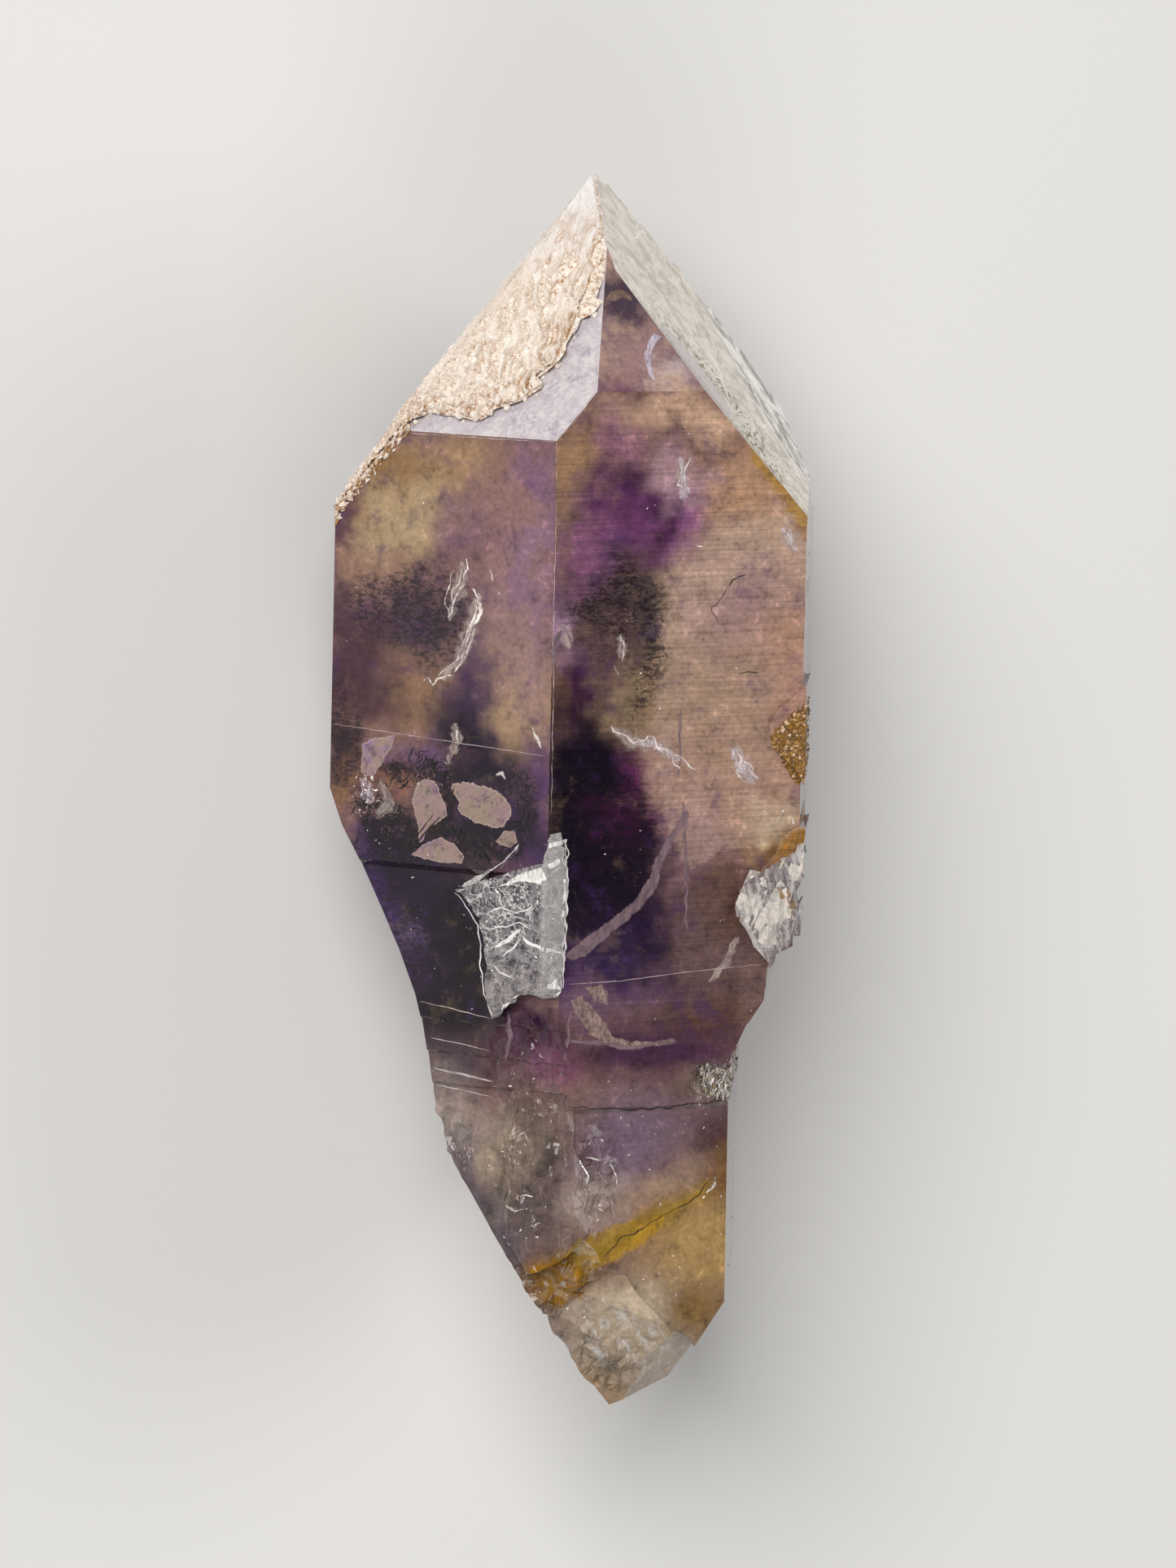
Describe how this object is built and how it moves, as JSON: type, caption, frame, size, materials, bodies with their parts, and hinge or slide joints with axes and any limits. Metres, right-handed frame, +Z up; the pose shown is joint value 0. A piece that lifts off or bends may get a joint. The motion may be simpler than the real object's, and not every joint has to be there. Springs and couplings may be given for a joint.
{
  "type": "amethyst crystal",
  "caption": "Single smoky amethyst point: a six-sided prism with a six-faced tip, a narrower stem and a broken lower end, part crusted and frosted, lying on a prism face.",
  "frame": {"origin": "middle of the bounding box, at the level of the prism face that the crystal lies on", "axes": "+Y along the c axis towards the point, +Z up, square to the prism face that it lies on"},
  "size_m": [0.0318, 0.0754, 0.0259],
  "materials": {
    "crystal": "natural crystal faces, smoky violet with honey-coloured zones, see-through",
    "crust": "rough druse of tiny pale crystals"
  },
  "bodies": {
    "root": {"crystal": "crystal"}
  },
  "joints": []
}
